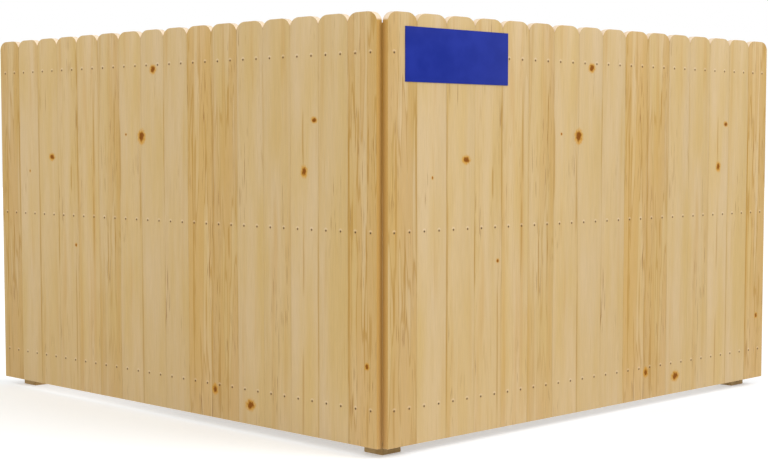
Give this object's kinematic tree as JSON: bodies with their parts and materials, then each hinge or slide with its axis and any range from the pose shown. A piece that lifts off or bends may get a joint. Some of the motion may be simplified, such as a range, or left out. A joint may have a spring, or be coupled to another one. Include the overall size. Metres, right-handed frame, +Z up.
{
  "type": "stockade fence corner",
  "caption": "Right-angled corner of solid board fence: butted round-shouldered pickets nailed to horizontal backer rails on square posts, with a blank sign plate.",
  "frame": {"origin": "centre of the corner post's foot, on the ground", "axes": "+X along the right panel away from the corner, +Y along the left panel, +Z up; the show faces look towards -Y and -X"},
  "size_m": [2.4579, 2.4609, 1.56],
  "materials": {
    "picket_pine": "sawn, unstained",
    "rail_pine": "sawn, unstained",
    "post_pine": "planed, unstained",
    "galvanised_steel": "hot-dip galvanised",
    "sign_blue": "satin blue, blank"
  },
  "bodies": {
    "root": {"right_picket_01": "picket_pine", "right_picket_02": "picket_pine", "right_picket_03": "picket_pine", "right_picket_04": "picket_pine", "right_picket_05": "picket_pine", "right_picket_06": "picket_pine", "right_picket_07": "picket_pine", "right_picket_08": "picket_pine", "right_picket_09": "picket_pine", "right_picket_10": "picket_pine", "right_picket_11": "picket_pine", "right_picket_12": "picket_pine", "right_picket_13": "picket_pine", "right_picket_14": "picket_pine", "right_picket_15": "picket_pine", "right_picket_16": "picket_pine", "right_rail_bottom": "rail_pine", "right_rail_middle": "rail_pine", "right_rail_top": "rail_pine", "left_picket_01": "picket_pine", "left_picket_02": "picket_pine", "left_picket_03": "picket_pine", "left_picket_04": "picket_pine", "left_picket_05": "picket_pine", "left_picket_06": "picket_pine", "left_picket_07": "picket_pine", "left_picket_08": "picket_pine", "left_picket_09": "picket_pine", "left_picket_10": "picket_pine", "left_picket_11": "picket_pine", "left_picket_12": "picket_pine", "left_picket_13": "picket_pine", "left_picket_14": "picket_pine", "left_picket_15": "picket_pine", "left_picket_16": "picket_pine", "left_rail_bottom": "rail_pine", "left_rail_middle": "rail_pine", "left_rail_top": "rail_pine", "corner_post": "post_pine", "right_end_post": "post_pine", "left_end_post": "post_pine", "corner_batten": "rail_pine", "rail_lag_screws": "galvanised_steel", "sign_plate": "sign_blue"}
  },
  "joints": []
}
